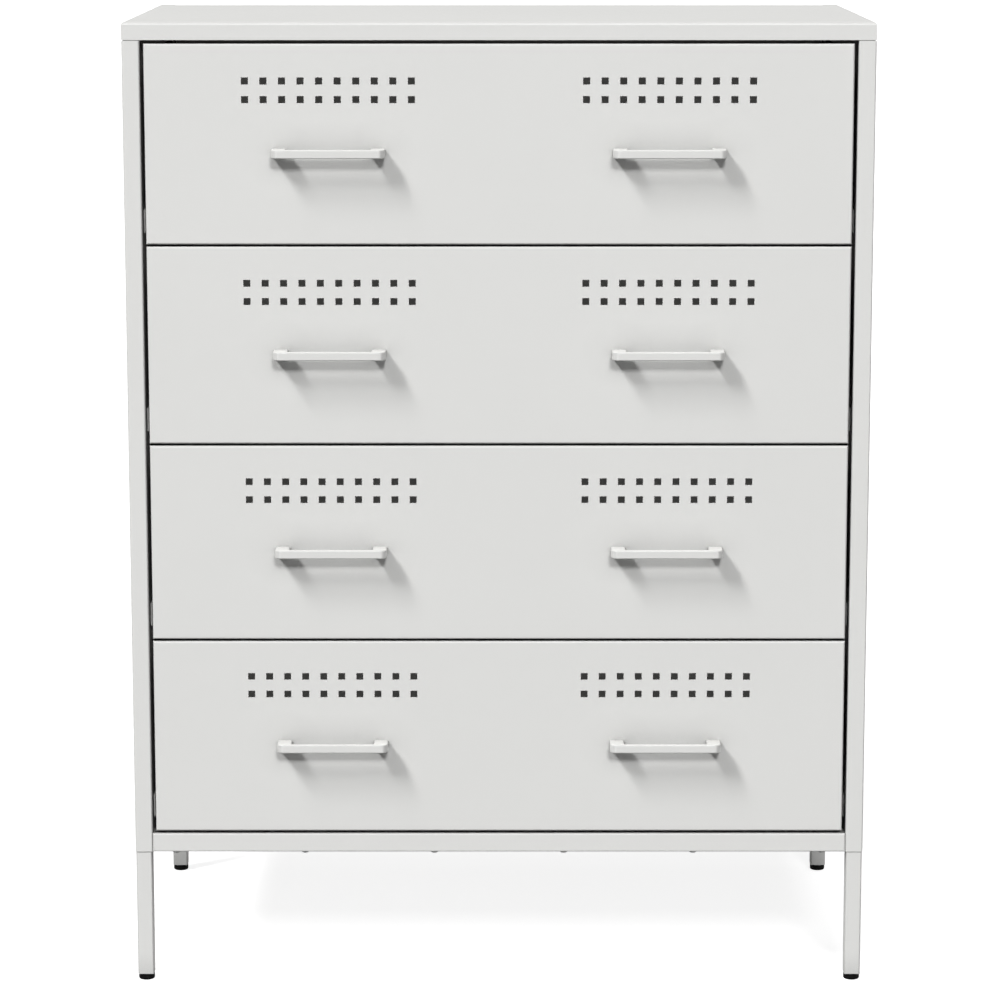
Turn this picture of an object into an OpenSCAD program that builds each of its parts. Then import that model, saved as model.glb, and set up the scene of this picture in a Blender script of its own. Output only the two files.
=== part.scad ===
// Steel cabinet with four drawers: folded sheet panels on four square legs.
// Each drawer runs on a pair of roller runners and has two handles and two
// fields of square punched holes.
// Origin: middle of the footprint (handles included), on the floor.
// +X right, +Y to the back, +Z up, millimetres.

/* [Body] */
// Width of the body over the side panels
body_w = 680; // [560:1:800]
// Depth of the body, from the front face to the rear posts
body_d = 390; // [360:1:480]
// Height of the lip of the top panel
top_lip_h = 15.8; // [12:0.1:24]
// Width of the stiles and rear posts, which is the thickness of a side panel
post_w = 16.3; // [15.8:0.1:22]
// Depth of the inner face of the stiles and rear posts
post_return = 50; // [46:1:70]
// How far the back panel stands in from the rear face of the posts
back_recess = 15; // [6:0.5:20]
// Height of the rail under the lowest drawer
rail_h = 17.6; // [16:0.1:30]
// Depth of the rail's flanges
rail_flange = 18; // [14:1:18]
// Depth of the back panel's side flanges
back_flange = 12; // [10:0.5:16]

/* [Sheet metal] */
// Sheet of the body panels
panel_sheet = 0.8; // [0.6:0.05:1]
// Sheet of the drawer fronts and boxes
drawer_sheet = 0.8; // [0.6:0.05:1]
// Sheet of the runners
runner_sheet = 1.2; // [1:0.05:1.4]
// Outer bend radius of the side panels, drawer fronts and drawer boxes
bend_r = 1.6; // [1.2:0.1:2.4]
// Outer bend radius of the rail
rail_bend_r = 1.2; // [1.1:0.1:2]
// Outer bend radius round the top panel
top_bend_r = 2.4; // [1.4:0.1:4]

/* [Drawers] */
// Height of a drawer front
front_h = 181.2; // [150:0.1:230]
// Depth of a drawer front's folded edges
front_depth = 18; // [14:0.5:20]
// Width of the inward folds behind a drawer front
front_return = 8; // [6:0.5:9]
// Gap between two drawer fronts
front_gap = 2; // [1.5:0.1:4]
// Gap beside a drawer front
side_gap = 3.4; // [2.5:0.1:5]
// Gap above the top drawer front
top_gap = 3.2; // [2:0.1:6]
// Gap under the lowest drawer front
bottom_gap = 2.6; // [2:0.1:6]
// Top edge of the drawer sides, below the top of the front
box_drop = 31; // [20:1:60]
// Bottom of the drawer box, above the bottom of the front
box_lift = 10; // [9:0.5:20]
// Width of the folds along the top edges and ends of the drawer sides
box_hem = 8; // [5:0.5:8]
// Room between the drawer box and the rear stops of its runners
box_rear_room = 7; // [7:0.5:20]

/* [Punched holes] */
// Side of a square hole
hole_side = 6.4; // [4:0.1:9]
// Centre distance of the holes, both ways
hole_pitch = 16.72; // [12:0.02:18]
// Holes in a row of one field
hole_columns = 10; // [4:1:10]
// Rows of holes in one field
hole_rows = 2; // [1:1:3]
// Centre of the top row, below the top of the front
hole_drop = 33.4; // [24:0.1:36]
// Distance of each hole field and its handle from the middle of the front
field_x = 154.2; // [130:0.1:170]

/* [Handles] */
// Overall width of a handle
handle_w = 102.4; // [80:0.1:130]
// Width of a handle's arms
arm_w = 13; // [10:0.5:18]
// Thickness of the grip bar, front to back
bar_t = 4.5; // [3.5:0.1:5.2]
// Height of the handle
bar_h = 7.8; // [7.2:0.1:12]
// Distance from the drawer front to the front of the grip bar
handle_out = 20; // [18:0.5:40]
// Radius of the handle's outer corners, seen from above
handle_corner_r = 6; // [5.5:0.5:8]
// Radius of the handle's edges
handle_edge_r = 1; // [0.5:0.1:1.5]
// Middle of the handle, below the top of the front
handle_drop = 98; // [80:1:130]

/* [Runners] */
// Diameter of the rollers
roller_d = 18; // [16:0.2:20]
// Width of the rollers
roller_w = 7; // [5:0.1:7.2]
// Diameter of the roller pins
pin_d = 5; // [4:0.1:6]
// Travel of a drawer
travel = 270; // [180:1:285]
// Width between the drawer box and the body that one runner pair takes up
runner_room = 13.2; // [13.2:0.1:15]
// Width of the runner flange under the drawer box
under_flange = 12; // [8:1:20]
// Height of the tab that stops the rear roller at full travel
stop_h = 5; // [3:0.5:7]

/* [Legs and feet] */
// Side of a leg tube
leg_w = 15; // [14:0.1:15.2]
// Length of a leg tube
leg_len = 119; // [80:1:200]
// Wall of a leg tube
leg_wall = 1.2; // [1:0.1:1.5]
// Corner radius of a leg tube
leg_corner_r = 1.6; // [1:0.1:2]
// Step from the faces of the body to the faces of a leg
leg_inset = 0.45; // [0.2:0.05:0.8]
// Height of the plugs in both ends of a leg
plug_h = 20; // [16:1:30]
// Diameter of a levelling foot
foot_d = 15; // [14:0.1:24]
// Height of a levelling foot
foot_h = 6; // [5:0.1:12]
// Radius round the bottom of a levelling foot
foot_edge_r = 1.5; // [0.5:0.1:2.5]
// Diameter of a foot's stud
stud_d = 8; // [6:0.1:8.5]
// Length of a foot's stud
stud_len = 28; // [24:1:40]

/* [Screws] */
// Diameter of the screws
screw_d = 4; // [3.5:0.1:4.5]
// Length of the screws under the head
screw_len = 8; // [7:0.1:9]
// Diameter of the screw heads
screw_head_d = 7; // [6:0.1:8]
// Height of the screw heads
screw_head_h = 1.6; // [1.2:0.1:1.7]
// Height of the heads of the screws under the rail
rail_head_h = 2.4; // [2:0.1:4]
// Number of screws under the rail
rail_screw_count = 6; // [4:1:8]
// Distance of the outermost screws under the rail from the sides of the body
rail_screw_side = 37.5; // [30:0.5:120]
// Distance of the screws under the rail from the front face
rail_screw_in = 8; // [7:0.5:9]
// Diameter of the leg bolts
bolt_d = 6; // [5:0.1:6.5]
// Length of the leg bolts under the head
bolt_len = 16; // [10:1:18]
// Diameter of the leg bolt heads
bolt_head_d = 10; // [9:0.1:11]
// Height of the leg bolt heads
bolt_head_h = 4; // [3:0.1:6]

/* [Clearances] */
// Gap at the seams between neighbouring panels
seam = 0.3; // [0.2:0.05:0.5]
// Gap between a roller and the face that it runs on
rolling_gap = 0.3; // [0.3:0.05:0.5]
// Radial gap between a pin, stud or screw and its bore
bore_gap = 0.1; // [0.05:0.01:0.1]
// Radial gap of a screw in the clearance hole of a sheet
screw_hole_gap = 0.3; // [0.2:0.05:0.5]

/* [Hidden] */
$fn = 48;
drawer_count = 4;
// Small overlap that fuses two shapes of one piece
eps = 0.05;
// How far a cut reaches past a face
over = 1;
// Length of a cut through a sheet, half of it on each side
cut_h = 8;

// Heights above the floor
leg_top_z = foot_h + leg_len;
body_z = leg_top_z;
rail_top_z = body_z + rail_h;
front_pitch = front_h + front_gap;
fronts_z = rail_top_z + bottom_gap;
lip_z = fronts_z + drawer_count * front_pitch - front_gap + top_gap;
top_z = lip_z + top_lip_h;
side_h = lip_z - seam - body_z;

// Plan: the handles and the rear posts are as far in front of the origin as behind it
front_y = -(body_d - handle_out) / 2;
back_y = front_y + body_d;
back_panel_y = back_y - back_recess;
middle_y = (front_y + back_y) / 2;
opening_x = body_w / 2 - post_w;

// Drawer n counts from the top
function front_bottom_z(n) = fronts_z + (drawer_count - n) * front_pitch;
function front_top_z(n) = front_bottom_z(n) + front_h;
function box_z(n) = front_bottom_z(n) + box_lift;
box_h = front_h - box_drop - box_lift;
front_w = 2 * (opening_x - side_gap);
box_x = opening_x - runner_room;
front_rear_y = front_y + front_depth;
box_end_fold_y = front_rear_y + drawer_sheet;

// Small rooms between the parts of a runner
behind_fold = 0.2;
roller_behind_fold = 0.7;
flange_behind_roller = 2.5;
behind_runner = 3;
slide_to_side = 2.5;
slide_to_flange = 1.1;
upper_flange_step = 1.2;
rear_roller_gap = 0.9;
front_roller_gap = 1.5;
roller_play = 0.2;

// Runners, measured from the bottom of the drawer box
roller_r = roller_d / 2;
channel_h = roller_d + 2 * rolling_gap;
channel_top = channel_h + runner_sheet;
runner_lap = 1;
slide_face = channel_top + runner_lap;
runner_front_y = box_end_fold_y + behind_fold;
runner_rear_y = back_panel_y - back_flange - behind_runner;
front_roller_y = box_end_fold_y + roller_behind_fold + roller_r;
rear_roller_y = runner_rear_y - runner_sheet - rolling_gap - roller_r;
box_rear_y = runner_rear_y - runner_sheet - box_rear_room;
flange_front_y = front_roller_y + roller_r + flange_behind_roller;
front_roller_z = slide_face - rolling_gap - roller_r;
rear_roller_z = rolling_gap + roller_r;
stop_reach = sqrt(pow(roller_r, 2) - pow(rear_roller_z - stop_h, 2)) + rolling_gap;
stop_y = rear_roller_y - travel - stop_reach;
web_x = opening_x - runner_sheet;
slide_x = box_x + runner_sheet;
rivet_h = 0.6;
rivet_rim = 1.3;
rivet_d = pin_d + 2 * rivet_rim;
rear_roller_x = slide_x + rear_roller_gap;
front_roller_x = slide_x + front_roller_gap;
front_screw_in = 4.5;
rear_screw_in = 6;
runner_screw_y = [flange_front_y + front_screw_in, runner_rear_y - rear_screw_in];

// Fixings
screw_hole_d = screw_d + 2 * screw_hole_gap;
leg_x = body_w / 2 - leg_inset - leg_w / 2;
leg_front_y = front_y + leg_inset + leg_w / 2;
leg_rear_y = back_y - leg_inset - leg_w / 2;
leg_places = [[-leg_x, leg_front_y], [leg_x, leg_front_y], [-leg_x, leg_rear_y], [leg_x, leg_rear_y]];
leg_names = ["front_left", "front_right", "rear_left", "rear_right"];
plug_w = leg_w - 2 * leg_wall - 2 * bore_gap;
leg_inner_r = max(leg_corner_r - leg_wall, 0.3);
plug_corner_r = leg_inner_r + 0.6;
arm_x = handle_w / 2 - arm_w / 2;
frame_edge = 15;
post_screw_in = 25;
panel_screw_y = [for (k = [-1, 0, 1]) middle_y + k * (body_d / 2 - post_return - post_screw_in)];
panel_screw_z = body_z + frame_edge / 2 + panel_sheet;
back_screw_y = back_panel_y - back_flange / 2;
back_screw_z = [for (k = [1, 3, 5]) body_z + k * side_h / 6];
rail_tab_y = front_y + rail_flange / 2;
rail_screw_pitch = (body_w - 2 * rail_screw_side) / (rail_screw_count - 1);
box_screw_shares = [0.42, 0.8];
box_screw_z = box_screw_shares * box_h;
box_back_fold = 1.5 * box_hem;
box_corner = 2;

paint = [0.87, 0.87, 0.86];
runner_paint = [0.93, 0.93, 0.92];
zinc = [0.7, 0.71, 0.73];
nylon = [0.95, 0.95, 0.93];
black = [0.11, 0.11, 0.11];

// ---------------------------------------------------------------- shapes

// Extrudes a Y-Z outline from x0 to x1
module along_x(x0, x1) {
    translate([x0, 0, 0]) rotate([90, 0, 90]) linear_extrude(x1 - x0) children();
}

// Extrudes an X-Z outline from y0 to y1
module along_y(y0, y1) {
    translate([0, y1, 0]) rotate([90, 0, 0]) linear_extrude(y1 - y0) children();
}

// The children and their mirror image on the left
module both_sides() {
    children();
    mirror([1, 0, 0]) children();
}

// Box between two corners
module block(low, high) {
    translate(low) cube(high - low);
}

// Outline w by h, centred in x, from y = 0 up, with round corners
module round_outline(w, h, r) {
    translate([-w / 2 + r, 0]) square([w - 2 * r, h]);
    translate([-w / 2, r]) square([w, h - 2 * r]);
    for (x = [-w / 2 + r, w / 2 - r], y = [r, h - r]) translate([x, y]) circle(r);
}

// Outline from x = 0 back to d and from y = 0 up to h, with its two front corners round
module front_round_outline(d, h, r) {
    translate([r, 0]) square([d - r, h]);
    translate([0, r]) square([d, h - 2 * r]);
    for (y = [r, h - r]) translate([r, y]) circle(r);
}

// Shallow block: front face at y = 0, w wide, d deep, h high, front edges bent round
module bent_block(w, d, h, r) {
    intersection() {
        linear_extrude(h) round_outline(w, d, r);
        along_x(-w / 2, w / 2) front_round_outline(d, h, r);
    }
}

// Folded panel: a skin, its four folded edges and the inward folds behind them
module folded_panel(w, d, h, skin, r, fold_x, fold_z) {
    difference() {
        bent_block(w, d, h, r);
        translate([0, skin, skin]) bent_block(w - 2 * skin, d - 2 * skin, h - 2 * skin, r - skin);
        block([-w / 2 + fold_x, d - 2 * skin, fold_z], [w / 2 - fold_x, d + skin, h - fold_z]);
    }
}

// Bore through a sheet at z = 0
module sheet_hole(d) {
    cylinder(d = d, h = cut_h, center = true);
}

// Screw along +Z, with the top of its head at z = 0
module screw(head_h) {
    head_r = screw_head_d / 2;
    chamfer = head_h / 3;
    slot_w = 0.8;
    difference() {
        rotate_extrude() polygon([
            [0, 0],
            [head_r - chamfer, 0],
            [head_r, chamfer],
            [head_r, head_h],
            [screw_d / 2, head_h],
            [screw_d / 2, head_h + screw_len],
            [0, head_h + screw_len]
        ]);
        for (a = [0, 90]) rotate(a) cube([head_r, slot_w, head_h], center = true);
    }
}

// Turns what points along +Z so that it points along an axis
module pointing_right() {
    rotate([0, 90, 0]) children();
}

module pointing_left() {
    rotate([0, -90, 0]) children();
}

module pointing_front() {
    rotate([90, 0, 0]) children();
}

// ---------------------------------------------------------------- body

// The skin of the top over a width, down to the lip's lower edge
module top_skin(x0, x1, y0, y1, inset) {
    w = x1 - x0 - 2 * inset;
    d = y1 - y0 - 2 * inset;
    h = top_lip_h - inset;
    r = top_bend_r - inset;
    translate([(x0 + x1) / 2, (y0 + y1) / 2, top_z - inset - h]) {
        intersection() {
            along_x(-w / 2, w / 2) arched_outline(d, h, r);
            along_y(-d / 2, d / 2) arched_outline(w, h, r);
        }
    }
}

// Outline w by h, centred in x, with its two upper corners round
module arched_outline(w, h, r) {
    translate([-w / 2, 0]) square([w, h - r]);
    translate([-w / 2 + r, 0]) square([w - 2 * r, h]);
    for (x = [-w / 2 + r, w / 2 - r]) translate([x, h - r]) circle(r);
}

// The top's outer or inner form: its rear edge stands in between the rear posts
module top_form(inset) {
    top_skin(-body_w / 2, body_w / 2, front_y, back_panel_y, inset);
    for (s = [-1, 1]) {
        inner = s * (opening_x + seam);
        outer = s * body_w / 2;
        top_skin(min(inner, outer), max(inner, outer), front_y, back_y, inset);
    }
}

module top_panel() {
    fold_step = 2;
    fold = post_w - fold_step;
    color(paint) difference() {
        union() {
            difference() {
                top_form(0);
                translate([0, 0, -eps]) top_form(panel_sheet);
            }
            intersection() {
                top_form(panel_sheet / 2);
                difference() {
                    block([-body_w, front_y, lip_z], [body_w, back_y, lip_z + panel_sheet]);
                    block(
                        [-body_w / 2 + fold, front_y + fold, lip_z - eps],
                        [body_w / 2 - fold, back_panel_y - fold, lip_z + 2 * panel_sheet]
                    );
                }
            }
        }
        top_screw_places() sheet_hole(screw_hole_d);
    }
}

module top_screw_places() {
    for (x = [-leg_x, leg_x], y = panel_screw_y) translate([x, y, lip_z]) children();
}

// Right side panel: skin outside, stile in front, post behind, frame inside
module side_panel() {
    difference() {
        translate([body_w / 2, middle_y, body_z]) rotate(90)
            folded_panel(body_d, post_w, side_h, panel_sheet, bend_r, post_return, frame_edge);
        top_screw_places() sheet_hole(screw_hole_d);
        for (p = leg_places) translate([p[0], p[1], body_z]) sheet_hole(bolt_d + 2 * screw_hole_gap);
        side_screw_places() sheet_hole(screw_hole_d);
    }
}

// Screws that go outwards into the right side panel, seated on its inner face at z = 0
module side_screw_places() {
    for (y = panel_screw_y) translate([opening_x, y, panel_screw_z]) pointing_right() children();
    for (z = back_screw_z) translate([opening_x, back_screw_y, z]) pointing_right() children();
    translate([opening_x, rail_tab_y, body_z + rail_h / 2]) pointing_right() children();
    for (n = [1:drawer_count], y = runner_screw_y)
        translate([opening_x, y, box_z(n) + channel_h / 2]) pointing_right() children();
}

module right_side_panel() {
    color(paint) side_panel();
}

module left_side_panel() {
    color(paint) mirror([1, 0, 0]) side_panel();
}

module back_panel() {
    x = opening_x - seam;
    shelf = 3 * back_flange;
    color(paint) difference() {
        union() {
            translate([0, back_panel_y, body_z]) rotate(180)
                folded_panel(2 * x, back_flange, side_h, panel_sheet, bend_r, panel_sheet, panel_sheet);
            block(
                [-x + panel_sheet, back_panel_y - shelf, body_z],
                [x - panel_sheet, back_panel_y - back_flange + panel_sheet, body_z + panel_sheet]
            );
        }
        both_sides() for (z = back_screw_z)
            translate([0, back_screw_y, z]) pointing_right() cylinder(d = screw_hole_d, h = body_w / 2);
    }
}

module bottom_panel() {
    x = opening_x - seam;
    z = body_z + panel_sheet;
    tray_front = front_rear_y + 2;
    tray_rear = back_panel_y - back_flange - seam;
    color(paint) difference() {
        union() {
            along_y(tray_front, tray_rear) difference() {
                translate([0, z]) round_outline(2 * x, frame_edge + bend_r, bend_r);
                translate([0, z + panel_sheet])
                    round_outline(2 * (x - panel_sheet), frame_edge + bend_r, bend_r - panel_sheet);
                translate([-x - over, z + frame_edge - panel_sheet])
                    square([2 * (x + over), 2 * (bend_r + over)]);
            }
            block(
                [-x + 2 * bend_r, front_y + panel_sheet + seam, z],
                [x - 2 * bend_r, tray_front + over, z + panel_sheet]
            );
        }
        rail_screw_places() sheet_hole(screw_hole_d);
        both_sides() for (y = panel_screw_y)
            translate([0, y, panel_screw_z]) pointing_right() cylinder(d = screw_hole_d, h = body_w / 2);
    }
}

module front_bottom_rail() {
    x = opening_x - seam / 2;
    color(paint) difference() {
        union() {
            difference() {
                translate([0, front_y, body_z]) bent_block(2 * x, rail_flange, rail_h, rail_bend_r);
                block(
                    [-x - over, front_y + panel_sheet, body_z + panel_sheet],
                    [x + over, front_y + rail_flange + over, rail_top_z - panel_sheet]
                );
            }
            both_sides() block(
                [x - panel_sheet, front_y + panel_sheet / 2, body_z + panel_sheet / 2],
                [x, front_y + rail_flange, rail_top_z - panel_sheet / 2]
            );
        }
        rail_screw_places() sheet_hole(screw_hole_d);
        both_sides() translate([0, rail_tab_y, body_z + rail_h / 2])
            pointing_right() cylinder(d = screw_hole_d, h = body_w / 2);
    }
}

module rail_screw_places() {
    for (k = [0:rail_screw_count - 1])
        translate([(k - (rail_screw_count - 1) / 2) * rail_screw_pitch, front_y + rail_screw_in, body_z])
            children();
}

module rail_screws() {
    color(zinc) rail_screw_places() translate([0, 0, -rail_head_h]) screw(rail_head_h);
}

// The screws of the body: their seats lie on the flange or web that they hold
module body_screws() {
    color(zinc) {
        top_screw_places() translate([0, 0, -seam - panel_sheet - screw_head_h]) screw(screw_head_h);
        both_sides() {
            for (y = panel_screw_y)
                translate([opening_x - seam - panel_sheet - screw_head_h, y, panel_screw_z])
                    pointing_right() screw(screw_head_h);
            for (z = back_screw_z)
                translate([opening_x - seam - panel_sheet - screw_head_h, back_screw_y, z])
                    pointing_right() screw(screw_head_h);
            translate([opening_x - seam / 2 - panel_sheet - screw_head_h, rail_tab_y, body_z + rail_h / 2])
                pointing_right() screw(screw_head_h);
            for (n = [1:drawer_count], y = runner_screw_y)
                translate([web_x - screw_head_h, y, box_z(n) + channel_h / 2])
                    pointing_right() screw(screw_head_h);
        }
    }
}

// ---------------------------------------------------------------- legs and feet

module leg(k) {
    place = leg_places[k];
    color(paint) translate([place[0], place[1], foot_h]) linear_extrude(leg_len) difference() {
        translate([0, -leg_w / 2]) round_outline(leg_w, leg_w, leg_corner_r);
        translate([0, -leg_w / 2 + leg_wall])
            round_outline(leg_w - 2 * leg_wall, leg_w - 2 * leg_wall, leg_inner_r);
    }
}

// Plug in one end of each leg, bored along its middle
module leg_plugs(z, bore_d) {
    for (p = leg_places) translate([p[0], p[1], z]) difference() {
        linear_extrude(plug_h) translate([0, -plug_w / 2]) round_outline(plug_w, plug_w, plug_corner_r);
        translate([0, 0, -over]) cylinder(d = bore_d, h = plug_h + 2 * over);
    }
}

module leg_top_plugs() {
    color(zinc) leg_plugs(leg_top_z - plug_h, bolt_d + 2 * bore_gap);
}

module leg_bottom_plugs() {
    color(nylon) leg_plugs(foot_h, stud_d + 2 * bore_gap);
}

// Hexagon-socket bolts through the bottom of the side panels into the legs
module leg_bolts() {
    socket_d = bolt_d - 1;
    seat = body_z + panel_sheet;
    color(zinc) for (p = leg_places) translate([p[0], p[1], seat]) {
        translate([0, 0, -bolt_len]) cylinder(d = bolt_d, h = bolt_len);
        difference() {
            cylinder(d = bolt_head_d, h = bolt_head_h);
            translate([0, 0, bolt_head_h / 2]) cylinder(d = socket_d, h = bolt_head_h, $fn = 6);
        }
    }
}

module foot(k) {
    color(black) translate([leg_places[k][0], leg_places[k][1], 0]) {
        rotate_extrude() {
            translate([0, foot_edge_r]) square([foot_d / 2, foot_h - foot_edge_r]);
            square([foot_d / 2 - foot_edge_r, foot_h]);
            translate([foot_d / 2 - foot_edge_r, foot_edge_r]) circle(foot_edge_r);
        }
        translate([0, 0, foot_h]) cylinder(d = stud_d, h = stud_len);
    }
}

// ---------------------------------------------------------------- runners

// Pin with a rivet head that keeps a roller: from x = 0, past the roller, to the head
module roller_pin(reach, shoulder) {
    pointing_right() {
        cylinder(d = pin_d, h = reach + rivet_h);
        translate([0, 0, reach]) cylinder(d = rivet_d, h = rivet_h);
        cylinder(d = rivet_d, h = shoulder);
    }
}

// Right runner on the body: a channel for the drawer's rear roller, with stops at both
// ends and a bare web in front that carries the front roller
module cabinet_runner() {
    inner_x = slide_x + slide_to_flange;
    pin_shoulder = web_x - front_roller_x - roller_w - roller_play;
    // web
    block([web_x, runner_front_y, -runner_sheet], [opening_x, runner_rear_y, channel_top]);
    // lower flange, with the roller's track
    block([inner_x, flange_front_y, -runner_sheet], [opening_x, runner_rear_y, 0]);
    // upper flange, which keeps the drawer from tipping
    block([inner_x + upper_flange_step, flange_front_y, channel_h], [opening_x, runner_rear_y, channel_top]);
    // stops
    block([inner_x, stop_y - runner_sheet, -eps], [web_x + eps, stop_y, stop_h]);
    block([inner_x, runner_rear_y - runner_sheet, -eps], [web_x + eps, runner_rear_y, channel_h / 2]);
    // pin of the front roller
    translate([web_x, front_roller_y, front_roller_z]) mirror([1, 0, 0])
        roller_pin(pin_shoulder + roller_w + 2 * roller_play, pin_shoulder);
}

module cabinet_runners(n) {
    color(runner_paint) difference() {
        both_sides() translate([0, 0, box_z(n)]) cabinet_runner();
        both_sides() for (y = runner_screw_y)
            translate([web_x, y, box_z(n) + channel_h / 2]) pointing_right() sheet_hole(screw_hole_d);
    }
}

// Right runner on the drawer: under flange, web and the flange that lies on the front roller
module drawer_runner() {
    along_y(box_end_fold_y, box_rear_y) {
        translate([box_x - under_flange, -runner_sheet]) square([under_flange + runner_sheet, runner_sheet]);
        translate([box_x, -runner_sheet]) square([runner_sheet, slide_face + 2 * runner_sheet]);
        translate([box_x, slide_face]) square([opening_x - box_x - slide_to_side, runner_sheet]);
    }
    // the web runs on behind the box to carry the rear roller
    block([box_x, box_rear_y - eps, 0], [slide_x, rear_roller_y + rivet_d / 2, slide_face + runner_sheet]);
    translate([slide_x - eps, rear_roller_y, rear_roller_z])
        roller_pin(rear_roller_gap + roller_w + roller_play + eps, rear_roller_gap - roller_play);
}

module drawer_runners(n) {
    color(runner_paint) both_sides() translate([0, 0, box_z(n)]) drawer_runner();
}

// Roller with its inner face at x = 0: rims chamfered, a shallow groove round the hub
module roller() {
    chamfer = 0.6;
    groove = 1;
    hub = 1.7;
    rim = 1.6;
    bore_r = pin_d / 2 + bore_gap;
    pointing_right() rotate_extrude() difference() {
        polygon([
            [bore_r, 0],
            [roller_r - chamfer, 0],
            [roller_r, chamfer],
            [roller_r, roller_w - chamfer],
            [roller_r - chamfer, roller_w],
            [bore_r, roller_w]
        ]);
        for (z = [-eps, roller_w - groove])
            translate([bore_r + hub, z]) square([roller_r - rim - bore_r - hub, groove + eps]);
    }
}

module cabinet_rollers(n) {
    color(nylon) both_sides() translate([front_roller_x, front_roller_y, box_z(n) + front_roller_z]) roller();
}

module drawer_rollers(n) {
    color(nylon) both_sides() translate([rear_roller_x, rear_roller_y, box_z(n) + rear_roller_z]) roller();
}

// ---------------------------------------------------------------- drawers

module hole_field() {
    for (i = [0:hole_columns - 1], j = [0:hole_rows - 1])
        translate([(i - (hole_columns - 1) / 2) * hole_pitch, -hole_drop - j * hole_pitch])
            square(hole_side, center = true);
}

// Places of the four handle screws of a drawer, on the face of its front
module handle_screw_places(n) {
    for (field = [-field_x, field_x], arm = [-arm_x, arm_x])
        translate([field + arm, front_y, front_top_z(n) - handle_drop]) children();
}

// Places of the screws through the end folds of the box into the front's inward folds
module front_screw_places(n) {
    for (s = [-1, 1], z = box_screw_z)
        translate([s * (box_x + box_hem / 2), front_rear_y, box_z(n) + z]) children();
}

module drawer_front(n) {
    fold_x = front_return + drawer_sheet;
    color(paint) difference() {
        translate([0, front_y, front_bottom_z(n)])
            folded_panel(front_w, front_depth, front_h, drawer_sheet, bend_r, fold_x, front_return);
        along_y(front_y - over, front_y + drawer_sheet + over) for (x = [-field_x, field_x])
            translate([x, front_top_z(n)]) hole_field();
        handle_screw_places(n) pointing_front() sheet_hole(screw_hole_d);
        front_screw_places(n) pointing_front() sheet_hole(screw_hole_d);
    }
}

// Bottom and sides from one sheet, with hems, end folds and a tongue under the front
module drawer_box(n) {
    t = drawer_sheet;
    tongue_h = 1.5 * box_hem;
    color(paint) translate([0, 0, box_z(n)]) difference() {
        union() {
            along_y(front_rear_y, box_rear_y) difference() {
                round_outline(2 * box_x, box_h, bend_r);
                translate([0, t]) round_outline(2 * (box_x - t), box_h - 2 * t, bend_r - t);
                translate([-box_x + box_hem, box_h / 2]) square([2 * (box_x - box_hem), box_h]);
            }
            both_sides() block(
                [box_x - t / 2, front_rear_y, box_corner],
                [box_x + box_hem, box_end_fold_y, box_h - box_corner]
            );
            block([-box_x + box_corner, front_y + t, 0], [box_x - box_corner, front_rear_y + over, t]);
            block(
                [-box_x + box_corner, front_y + t, 0],
                [box_x - box_corner, front_y + 2 * t, tongue_h]
            );
        }
        translate([0, 0, -box_z(n)]) {
            front_screw_places(n) pointing_front() sheet_hole(screw_hole_d);
            back_screw_places(n) sheet_hole(screw_hole_d);
        }
    }
}

// Places of the screws through the drawer sides into the back, seated on the sides
module back_screw_places(n) {
    both_sides() for (z = box_screw_z)
        translate([box_x, box_rear_y - box_back_fold / 2, box_z(n) + z]) pointing_left() children();
}

module drawer_back(n) {
    gap = seam + 0.3 * (bend_r - drawer_sheet);
    t = drawer_sheet;
    x = box_x - t - gap;
    h = box_h - 2 * t - 2 * gap;
    color(paint) difference() {
        translate([0, box_rear_y, box_z(n) + t + gap]) rotate(180)
            folded_panel(2 * x, box_back_fold, h, t, bend_r, t, t);
        back_screw_places(n) sheet_hole(screw_hole_d);
    }
}

// Handle: two arms and a grip bar in one piece, with a screw bore in each arm.
// Its edges are round all along, also round the corners.
module handle(n, x) {
    bar_front_y = -handle_out;
    corner_y = bar_front_y + handle_corner_r;
    outer_corner_x = handle_w / 2 - handle_corner_r;
    inner_r = handle_corner_r - bar_t;
    inner_corner_x = handle_w / 2 - arm_w - inner_r;
    flat_x = inner_corner_x + inner_r + handle_edge_r;
    flat_y = bar_front_y + bar_t - handle_edge_r;
    ring_w = 2 * (inner_r + handle_edge_r);
    bore_depth = screw_len + 2;
    translate([x, front_y, front_top_z(n) - handle_drop - bar_h / 2]) difference() {
        union() {
            // grip bar
            along_x(-inner_corner_x, inner_corner_x)
                translate([bar_front_y + bar_t / 2, 0]) round_outline(bar_t, bar_h, handle_edge_r);
            both_sides() {
                // arm
                along_y(corner_y, 0) translate([arm_x, 0]) round_outline(arm_w, bar_h, handle_edge_r);
                // outer corner
                intersection() {
                    translate([outer_corner_x, corner_y, 0]) rotate_extrude() intersection() {
                        round_outline(2 * handle_corner_r, bar_h, handle_edge_r);
                        square([handle_corner_r, bar_h]);
                    }
                    block([outer_corner_x, bar_front_y, 0], [handle_w / 2, corner_y, bar_h]);
                }
                // front edge from the bar to the outer corner
                along_x(inner_corner_x, flat_x) translate([bar_front_y, 0])
                    front_round_outline(bar_t - handle_edge_r, bar_h, handle_edge_r);
                along_x(flat_x, outer_corner_x) translate([bar_front_y, 0])
                    front_round_outline(handle_corner_r, bar_h, handle_edge_r);
                // inner corner
                intersection() {
                    translate([inner_corner_x, corner_y, 0]) rotate_extrude() translate([inner_r, 0])
                        front_round_outline(ring_w, bar_h, handle_edge_r);
                    block([inner_corner_x, flat_y, 0], [flat_x, corner_y, bar_h]);
                }
            }
        }
        for (arm = [-arm_x, arm_x]) translate([arm, over, bar_h / 2])
            pointing_front() cylinder(d = screw_d + 2 * bore_gap, h = bore_depth + over);
    }
}

module left_handle(n) {
    color(paint) handle(n, -field_x);
}

module right_handle(n) {
    color(paint) handle(n, field_x);
}

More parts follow.
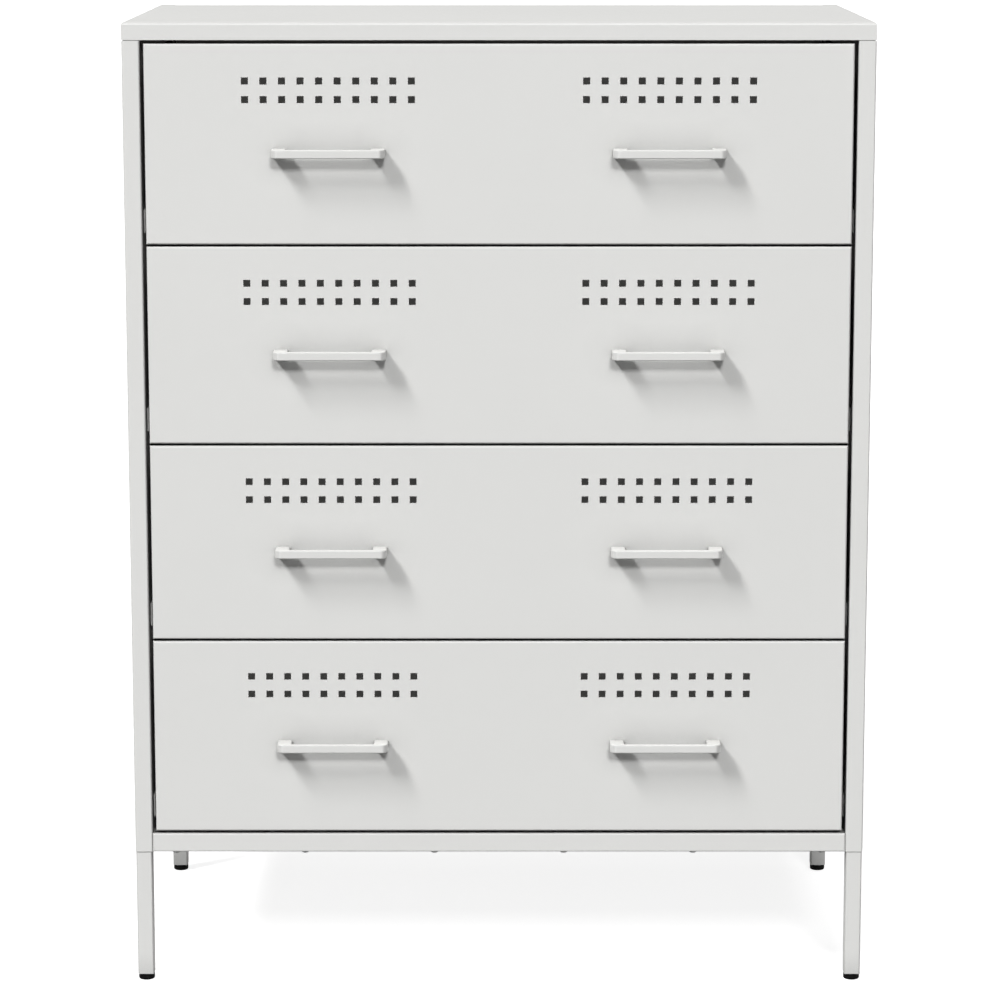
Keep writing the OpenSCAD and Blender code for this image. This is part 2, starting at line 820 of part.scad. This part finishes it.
// Twelve screws of a drawer: four hold the handles, four the front and four the back
module drawer_screws(n) {
    color(zinc) {
        handle_screw_places(n) translate([0, drawer_sheet + screw_head_h, 0])
            pointing_front() screw(screw_head_h);
        front_screw_places(n) translate([0, drawer_sheet + screw_head_h, 0])
            pointing_front() screw(screw_head_h);
        back_screw_places(n) translate([0, 0, -screw_head_h]) screw(screw_head_h);
    }
}

// ---------------------------------------------------------------- assembly

top_panel();
left_side_panel();
right_side_panel();
back_panel();
bottom_panel();
front_bottom_rail();
rail_screws();
body_screws();
leg_bolts();
leg_top_plugs();
leg_bottom_plugs();
for (k = [0:3]) {
    leg(k);
    foot(k);
}
for (n = [1:drawer_count]) {
    cabinet_runners(n);
    cabinet_rollers(n);
    drawer_front(n);
    drawer_box(n);
    drawer_back(n);
    left_handle(n);
    right_handle(n);
    drawer_screws(n);
    drawer_runners(n);
    drawer_rollers(n);
}
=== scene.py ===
import math

import bpy
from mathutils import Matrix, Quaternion, Vector

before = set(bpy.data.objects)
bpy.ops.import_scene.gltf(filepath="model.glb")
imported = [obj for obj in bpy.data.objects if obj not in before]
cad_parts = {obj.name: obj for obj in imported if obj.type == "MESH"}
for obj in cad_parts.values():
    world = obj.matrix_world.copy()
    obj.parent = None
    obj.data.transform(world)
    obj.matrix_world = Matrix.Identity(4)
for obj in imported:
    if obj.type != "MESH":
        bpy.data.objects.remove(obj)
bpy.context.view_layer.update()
scene = bpy.context.scene
scene.view_settings.view_transform = "Standard"

# ---------------------------------------------------------------- camera
# The photograph was taken from 3.0 m in front of the drawers, a little above
# the top, by an upright camera with a large shift. Here the camera stands 0.3 m
# further back and tilts down instead, so that it needs no shift.
camera_place = Vector((0.0009, -3.485, 1.047))
camera_tilt = math.radians(10.1)
focal_length_px = 3646
picture_px = 1000
camera = bpy.data.objects.new("camera", bpy.data.cameras.new("camera"))
scene.collection.objects.link(camera)
camera.location = camera_place
camera.rotation_euler = (math.pi / 2 - camera_tilt, 0, 0)
camera.data.sensor_width = 36
camera.data.lens = camera.data.sensor_width * focal_length_px / picture_px
camera.data.clip_start = 0.1
camera.data.clip_end = 200
scene.camera = camera

# ---------------------------------------------------------------- studio light
# A pale studio: two narrow soft boxes high at the left draw the handles' long
# shadows, two lamps above the camera light the front, and three low boxes at the
# right and behind show the sides and the back. All stand far off, to light evenly.


def put(tree, kind, inputs=(), **settings):
    """Adds a node to a tree; an input is given as a value or as the socket that feeds it."""
    node = tree.nodes.new(kind)
    for name, value in settings.items():
        setattr(node, name, value)
    for name, value in dict(inputs).items():
        if isinstance(value, bpy.types.NodeSocket):
            tree.links.new(value, node.inputs[name])
        else:
            node.inputs[name].default_value = value
    return node


# The camera sees a white surround, gloss a grey one and soft light hardly any
soft_level = 0.03
gloss_level = 0.27
white = (1, 1, 1, 1)
surround = bpy.data.worlds.new("surround")
surround.use_nodes = True
scene.world = surround
tree = surround.node_tree
tree.nodes.clear()
path = put(tree, "ShaderNodeLightPath")
dim = put(tree, "ShaderNodeMath",
          {0: path.outputs["Is Glossy Ray"], 1: gloss_level, 2: soft_level},
          operation="MULTIPLY_ADD")
shown = put(tree, "ShaderNodeMath",
            {0: path.outputs["Is Camera Ray"], 1: dim.outputs[0]}, operation="MAXIMUM")
even = put(tree, "ShaderNodeBackground", {"Color": white, "Strength": shown.outputs[0]})
put(tree, "ShaderNodeOutputWorld", {"Surface": even.outputs[0]})

lamp_distance = 40
lamp_target = Vector((0, 0, 0.46))


def soft_box(name, azimuth, elevation, width, height, level, lean=0):
    """Lamp seen in a direction and at a size in degrees; level is a white face's brightness."""
    a, e = math.radians(azimuth), math.radians(elevation)
    toward = Vector((math.sin(a) * math.cos(e), -math.cos(a) * math.cos(e), math.sin(e)))
    lamp = bpy.data.lights.new(name, "AREA")
    lamp.shape = "RECTANGLE"
    lamp.size = 2 * lamp_distance * math.tan(math.radians(width) / 2)
    lamp.size_y = 2 * lamp_distance * math.tan(math.radians(height) / 2)
    lamp.energy = level * (math.pi * lamp_distance) ** 2
    thing = bpy.data.objects.new(name, lamp)
    scene.collection.objects.link(thing)
    thing.location = lamp_target + toward * lamp_distance
    turn = (-toward).to_track_quat("-Z", "Y") @ Quaternion((0, 0, 1), math.radians(lean))
    thing.rotation_euler = turn.to_euler()


soft_box("key_soft_box", azimuth=-52, elevation=48, width=7, height=18, level=0.90, lean=34)
soft_box("key_top_soft_box", azimuth=-61, elevation=62, width=7, height=14, level=0.08, lean=34)
soft_box("front_lamp", azimuth=7, elevation=32, width=11, height=9, level=0.475)
soft_box("upper_soft_box", azimuth=18, elevation=42, width=20, height=16, level=0.06)
soft_box("right_soft_box", azimuth=100, elevation=6, width=40, height=12, level=0.24)
soft_box("rear_right_soft_box", azimuth=145, elevation=6, width=40, height=12, level=0.30)
soft_box("rear_left_soft_box", azimuth=-130, elevation=6, width=40, height=12, level=0.30)

# ---------------------------------------------------------------- floor
# A plain pale floor that meets the surround without an edge. The camera sees it
# as white, with only the deepest part of the cabinet's soft shadow left on it.
floor_half = 60
floor_drop = 0.0002
floor_corners = ((-1, -1), (1, -1), (1, 1), (-1, 1))
bounced_grey = (0.25, 0.25, 0.25, 1)
shadow_grey = (0.5, 0.5, 0.5, 1)
near, far = 2.0, 6.0
glow_near, glow_far = 0.82, 1.0
floor_mesh = bpy.data.meshes.new("floor")
floor_mesh.from_pydata([(x * floor_half, y * floor_half, -floor_drop) for x, y in floor_corners],
                       [], [(0, 1, 2, 3)])
floor = bpy.data.objects.new("floor", floor_mesh)
scene.collection.objects.link(floor)
floor_paint = bpy.data.materials.new("floor_paint")
floor_paint.use_nodes = True
tree = floor_paint.node_tree
tree.nodes.clear()
plain = put(tree, "ShaderNodeBsdfDiffuse", {"Color": bounced_grey})
shadowed = put(tree, "ShaderNodeBsdfDiffuse", {"Color": shadow_grey})
place = put(tree, "ShaderNodeTexCoord").outputs["Object"]
away = put(tree, "ShaderNodeVectorMath", {0: place}, operation="LENGTH")
glow = put(tree, "ShaderNodeMapRange",
           {"Value": away.outputs["Value"], "From Min": near, "From Max": far,
            "To Min": glow_near, "To Max": glow_far})
lifted = put(tree, "ShaderNodeEmission", {"Color": white, "Strength": glow.outputs[0]})
pale = put(tree, "ShaderNodeAddShader", {0: shadowed.outputs[0], 1: lifted.outputs[0]})
path = put(tree, "ShaderNodeLightPath")
both = put(tree, "ShaderNodeMixShader",
           {0: path.outputs["Is Camera Ray"], 1: plain.outputs[0], 2: pale.outputs[0]})
put(tree, "ShaderNodeOutputMaterial", {"Surface": both.outputs[0]})
floor.data.materials.append(floor_paint)

# ---------------------------------------------------------------- body panels
# Top, sides, back, bottom and front rail are 0.8 mm sheet steel, folded and
# screwed together, with a warm white powder coat whose fine orange peel shows
# close up.


def new_finish(name, **inputs):
    """Empty finish group with the inputs' usual values; it puts out colour, roughness, height."""
    group = bpy.data.node_groups.new(name, "ShaderNodeTree")
    for label, value in inputs.items():
        kind = "NodeSocketColor" if isinstance(value, tuple) else "NodeSocketFloat"
        group.interface.new_socket(label, in_out="INPUT", socket_type=kind).default_value = value
    group.interface.new_socket("Colour", in_out="OUTPUT", socket_type="NodeSocketColor")
    group.interface.new_socket("Roughness", in_out="OUTPUT", socket_type="NodeSocketFloat")
    group.interface.new_socket("Height", in_out="OUTPUT", socket_type="NodeSocketFloat")
    given = group.nodes.new("NodeGroupInput").outputs
    return group, given, group.nodes.new("NodeGroupOutput").inputs


def add(tree, total, *others):
    """Sum of numbers, each a value or the socket that feeds it."""
    for other in others:
        node = put(tree, "ShaderNodeMath", {0: total, 1: other}, operation="ADD")
        total = node.outputs[0]
    return total


def multiply(tree, product, *others):
    """Product of numbers, each a value or the socket that feeds it."""
    for other in others:
        node = put(tree, "ShaderNodeMath", {0: product, 1: other}, operation="MULTIPLY")
        product = node.outputs[0]
    return product


def over(tree, value, low, high):
    """0 below low, 1 above high, with a ramp between."""
    ramp = {"Value": value, "From Min": low, "From Max": high}
    return put(tree, "ShaderNodeMapRange", ramp).outputs[0]


def spread(tree, value, low, high):
    """Maps a value from 0..1 to low..high."""
    ramp = {"Value": value, "To Min": low, "To Max": high}
    return put(tree, "ShaderNodeMapRange", ramp).outputs[0]


def swing(tree, value, amount):
    """Turns a noise of 0..1 into a change of that amount, half of it down and half up."""
    return multiply(tree, add(tree, value, -0.5), amount)


def between(tree, factor, first, second):
    """Mix of two colours, each given as a value or as the socket that feeds it."""
    colours = {"Factor": factor, 6: first, 7: second}
    return put(tree, "ShaderNodeMix", colours, data_type="RGBA").outputs[2]


def noise(tree, size, detail, stretch=(1, 1, 1)):
    """Noise 0..1 whose lumps are about size metres across, fixed to the piece."""
    place = put(tree, "ShaderNodeTexCoord").outputs["Object"]
    if stretch != (1, 1, 1):
        stretched = put(tree, "ShaderNodeVectorMath", {0: place, 1: stretch}, operation="MULTIPLY")
        place = stretched.outputs[0]
    lumps = {"Vector": place, "Scale": 0.5 / size, "Detail": detail}
    return put(tree, "ShaderNodeTexNoise", lumps).outputs[0]


def along_z(tree, output):
    """Z of the surface's Normal or Position."""
    place = put(tree, "ShaderNodeNewGeometry").outputs[output]
    return put(tree, "ShaderNodeSeparateXYZ", {0: place}).outputs["Z"]


def folds(tree):
    """1 on folds and rounded edges, 0 on faces square to the axes; no coated piece ever turns."""
    normal = put(tree, "ShaderNodeNewGeometry").outputs["Normal"]
    sides = put(tree, "ShaderNodeVectorMath", {0: normal}, operation="ABSOLUTE").outputs[0]
    x, y, z = put(tree, "ShaderNodeSeparateXYZ", {0: sides}).outputs
    widest = put(tree, "ShaderNodeMath", {0: x, 1: y}, operation="MAXIMUM").outputs[0]
    widest = put(tree, "ShaderNodeMath", {0: widest, 1: z}, operation="MAXIMUM").outputs[0]
    return over(tree, widest, 0.985, 0.9)


# Powder coat: orange peel of 2 mm, faint clouds, a thin rubbed coat along the
# folds, darkened further as painted shade that dims their highlights, with a few
# pin chips down to the grey primer, dust on what faces up that also paints shade
# on the tops, painted shade in corners and gaps where nearby surfaces close in,
# and a painted shade line above a given height where a piece butts on
warm_white = (0.735, 0.735, 0.72, 1)
grey_primer = (0.42, 0.42, 0.41, 1)
dust_and_shade_grey = (0.55, 0.54, 0.52, 1)
joint_shade_grey = (0.22, 0.22, 0.21, 1)
no_joint_shade = 10.0
peel_size, grain_size, cloud_size, rub_size, speck_size = 0.0022, 0.0006, 0.09, 0.02, 0.004
corner_reach = 0.03
joint_shade_blur = 0.0002
coat, given, out = new_finish(
    "powder_coat", Colour=warm_white, Roughness=0.42, Mottle=0.02, Wear=0.5, Dust=0.03,
    Grime=1.0, Seam=no_joint_shade,
)
peel = noise(coat, peel_size, 2.0)
grain = noise(coat, grain_size, 1.0)
cloud = noise(coat, cloud_size, 3.0)
specks = noise(coat, speck_size, 4.0)
rim = folds(coat)
# The rubbed folds are also darkened as painted shade that tones down their highlights
rubbed_and_dimmed = multiply(coat, rim, spread(coat, noise(coat, rub_size, 2.0), 0.6, 1.4), given["Wear"])
pitted = over(coat, noise(coat, peel_size, 3.0), 0.70, 0.74)
chipped = multiply(coat, over(coat, rim, 0.5, 0.8), pitted, given["Wear"])
# Dust greys what faces up; it is also painted shade that darkens the tops which the high lamps
# light most
lying = over(coat, along_z(coat, "Normal"), 0.6, 1.0)
dust_and_top_shade = multiply(coat, lying, given["Dust"], spread(coat, specks, 0.2, 1.6))
# Painted shade: darker in corners, in gaps and beside the handles, wherever the occlusion mask
# finds surfaces close by
nearby = {"Distance": corner_reach}
open_air = put(coat, "ShaderNodeAmbientOcclusion", nearby, samples=3).outputs["AO"]
shut = over(coat, open_air, 1, 0)
painted_gap_shade = add(coat, shut, over(coat, shut, 0.6, 0.95))
shade = add(coat, 1.0, swing(coat, cloud, given["Mottle"]), swing(coat, grain, 0.012),
            multiply(coat, rubbed_and_dimmed, -0.35), multiply(coat, painted_gap_shade, given["Grime"], -0.4))
tinted = put(coat, "ShaderNodeVectorMath", {0: given["Colour"], "Scale": shade}, operation="SCALE")
bared = between(coat, chipped, tinted.outputs[0], grey_primer)
dusted_and_shaded = between(coat, dust_and_top_shade, bared, dust_and_shade_grey)
# Painted shade: a dark line above the given height where a piece butts on, standing in for the
# shade in the joint
past_joint_shade = add(coat, along_z(coat, "Position"), multiply(coat, given["Seam"], -1.0))
joint_shade = over(coat, past_joint_shade, -joint_shade_blur, joint_shade_blur)
coat.links.new(between(coat, joint_shade, dusted_and_shaded, joint_shade_grey), out["Colour"])
rough = add(coat, given["Roughness"], swing(coat, peel, 0.10), swing(coat, cloud, 0.10),
            multiply(coat, rubbed_and_dimmed, -0.12), dust_and_top_shade)
coat.links.new(rough, out["Roughness"])
height = add(coat, peel, multiply(coat, grain, 0.25), multiply(coat, chipped, -3.0))
coat.links.new(height, out["Height"])


def finished(name, group, bump_depth, values=(), shader_values=()):
    """Material whose colour, roughness and bump come from a finish group with its own values."""
    material = bpy.data.materials.new(name)
    material.use_nodes = True
    tree = material.node_tree
    tree.nodes.clear()
    skin = tree.nodes.new("ShaderNodeGroup")
    skin.node_tree = group
    for label, value in dict(values).items():
        skin.inputs[label].default_value = value
    relief = {"Height": skin.outputs["Height"], "Distance": bump_depth, "Strength": 1.0}
    bump = put(tree, "ShaderNodeBump", relief)
    shader = put(tree, "ShaderNodeBsdfPrincipled",
                 {"Base Color": skin.outputs["Colour"], "Roughness": skin.outputs["Roughness"],
                  "Normal": bump.outputs["Normal"], **dict(shader_values)})
    put(tree, "ShaderNodeOutputMaterial", {"Surface": shader.outputs["BSDF"]})
    return material


def dress(material, *nodes):
    """Gives CAD nodes a material in their own slots."""
    for name in nodes:
        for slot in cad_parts[name].material_slots:
            slot.material = material


peel_depth = 0.000012
# The body's extra dust is also painted shade on its top
body_coat = finished("body_powder_coat", coat, peel_depth, {"Dust": 0.14})
dress(body_coat, "top_panel", "back_panel", "bottom_panel", "front_bottom_rail")
side_top = 0.8786
# The sides take the painted shade line at their top edge
side_coat = finished("side_powder_coat", coat, peel_depth, {"Dust": 0.05, "Seam": side_top})
dress(side_coat, "left_side_panel", "right_side_panel")

# ---------------------------------------------------------------- legs
# Four legs of 15 mm square steel tube, coated with the body's powder and bolted
# up against the body's corners, where a thin dark line is painted at the joint as shade.
legs = ("front_left", "front_right", "rear_left", "rear_right")
leg_top = 0.1243
leg_coat = finished(
    "leg_powder_coat", coat, peel_depth,
    {"Roughness": 0.40, "Mottle": 0.015, "Wear": 0.6, "Dust": 0.02, "Seam": leg_top},
)
dress(leg_coat, *[f"{leg}_leg" for leg in legs])

# ---------------------------------------------------------------- levelling feet and leg plugs
# The feet and the plugs that they screw into are moulded black plastic with a
# fine spark-eroded skin, a little scuffed where they are handled.


def edges(tree, reach):
    """1 along edges and folds that are tighter than reach metres, 0 on flat faces."""
    softened = put(tree, "ShaderNodeBevel", {"Radius": reach}, samples=4).outputs[0]
    facing = put(tree, "ShaderNodeNewGeometry").outputs["Normal"]
    likeness = put(tree, "ShaderNodeVectorMath", {0: softened, 1: facing}, operation="DOT_PRODUCT")
    return over(tree, likeness.outputs["Value"], 1.0, 0.8)


black = (0.006, 0.006, 0.006, 1)
scuff_grey = (0.25, 0.25, 0.25, 1)
moulding, given, out = new_finish("moulded_plastic", Colour=black, Roughness=0.5, Scuff=0.2)
skin = noise(moulding, 0.0003, 2.0)
rub = add(moulding, noise(moulding, 0.004, 4.0), multiply(moulding, edges(moulding, 0.0006), 0.1))
rub = multiply(moulding, over(moulding, rub, 0.55, 0.75), given["Scuff"])
moulding.links.new(between(moulding, rub, given["Colour"], scuff_grey), out["Colour"])
rough = add(moulding, given["Roughness"], swing(moulding, skin, 0.2), multiply(moulding, rub, -0.3))
moulding.links.new(rough, out["Roughness"])
moulding.links.new(skin, out["Height"])
foot_plastic = finished(
    "foot_plastic", moulding, 0.00002, {"Roughness": 0.55, "Scuff": 0.04},
    {"Specular IOR Level": 0.08},
)
dress(foot_plastic, "leg_bottom_plugs", *[f"{leg}_foot" for leg in legs])

# ---------------------------------------------------------------- screws, bolts and threaded plugs
# Turned and rolled steel, zinc plated with a faint blue passivation, brighter
# where a driver or spanner has turned it.
blue_zinc = (0.6, 0.62, 0.65, 1)
yellowed_zinc = (0.66, 0.64, 0.58, 1)
bright_zinc = (0.74, 0.74, 0.74, 1)
drawer_numbers = (1, 2, 3, 4)
plating, given, out = new_finish("zinc_plating", Colour=blue_zinc, Roughness=0.32)
bloom = noise(plating, 0.003, 3.0)
fine = noise(plating, 0.0004, 2.0)
hue = between(plating, bloom, given["Colour"], yellowed_zinc)
worn = multiply(plating, edges(plating, 0.0004), spread(plating, fine, 0.0, 0.8))
plating.links.new(between(plating, worn, hue, bright_zinc), out["Colour"])
plating.links.new(add(plating, given["Roughness"], swing(plating, bloom, 0.3)), out["Roughness"])
plating.links.new(fine, out["Height"])
zinc = finished("zinc_plate", plating, 0.000006, shader_values={"Metallic": 1.0})
dress(zinc, "rail_screws", "body_screws", "leg_bolts", "leg_top_plugs",
      *[f"drawer_{n}_screws" for n in drawer_numbers])

# ---------------------------------------------------------------- drawers
# Each drawer is a folded front with two fields of punched holes, screwed to a
# folded box and its back; all carry the body's powder coat.
# The fronts take more painted gap shade, which also darkens them around the handles
drawer_coat = finished(
    "drawer_powder_coat", coat, peel_depth, {"Wear": 0.3, "Dust": 0.02, "Grime": 1.5},
)
box_white = (0.70, 0.70, 0.685, 1)
box_coat = finished(
    "drawer_box_powder_coat", coat, peel_depth,
    {"Colour": box_white, "Roughness": 0.44, "Dust": 0.2},
)
# A trace of glow on the backs stands for light that bounces in the closed boxes
# more often than a renderer follows, and shows in the punched holes
trapped_light = (0.033, 0.033, 0.032, 1)
inside_coat = finished(
    "drawer_back_powder_coat", coat, peel_depth, {"Wear": 0.3, "Dust": 0.04},
    {"Emission Color": trapped_light, "Emission Strength": 1.0},
)
for n in drawer_numbers:
    dress(drawer_coat, f"drawer_{n}_front")
    dress(box_coat, f"drawer_{n}_box")
    dress(inside_coat, f"drawer_{n}_back")

# ---------------------------------------------------------------- handles
# Cast bar handles with two arms, coated like the fronts but smoother, and
# screwed on from inside the drawer front.
handle_coat = finished(
    "handle_powder_coat", coat, 0.000010, {"Roughness": 0.36, "Mottle": 0.01, "Dust": 0.35},
)
for n in drawer_numbers:
    dress(handle_coat, f"drawer_{n}_left_handle", f"drawer_{n}_right_handle")

# ---------------------------------------------------------------- runners
# Roll-formed steel runners in white enamel, screwed to the sides and to the
# drawers, and rubbed bare in fine streaks where the rollers run.
enamel_white = (0.8, 0.8, 0.78, 1)
bare_steel = (0.4, 0.4, 0.39, 1)
along_the_run = (1, 0.02, 1)
enamelling, given, out = new_finish("runner_enamel", Colour=enamel_white, Roughness=0.3)
streaks = noise(enamelling, 0.0008, 3.0, stretch=along_the_run)
worn = add(enamelling, streaks, multiply(enamelling, edges(enamelling, 0.001), 0.1))
worn = over(enamelling, worn, 0.58, 0.7)
thinned = multiply(enamelling, worn, 0.5)
enamelling.links.new(between(enamelling, thinned, given["Colour"], bare_steel), out["Colour"])
rough = add(enamelling, given["Roughness"], multiply(enamelling, worn, 0.15))
enamelling.links.new(rough, out["Roughness"])
enamelling.links.new(streaks, out["Height"])
enamel = finished("runner_enamel", enamelling, 0.00001)
for n in drawer_numbers:
    dress(enamel, f"cabinet_runners_{n}", f"drawer_{n}_runners")

# ---------------------------------------------------------------- rollers
# Turned nylon rollers on riveted pins, off-white, with a grey track where they
# have run.
off_white = (0.78, 0.77, 0.72, 1)
nylon = finished(
    "nylon", moulding, 0.00001, {"Colour": off_white, "Roughness": 0.38, "Scuff": 0.15},
    {"Subsurface Weight": 0.15},
)
for n in drawer_numbers:
    dress(nylon, f"cabinet_rollers_{n}", f"drawer_{n}_rollers")
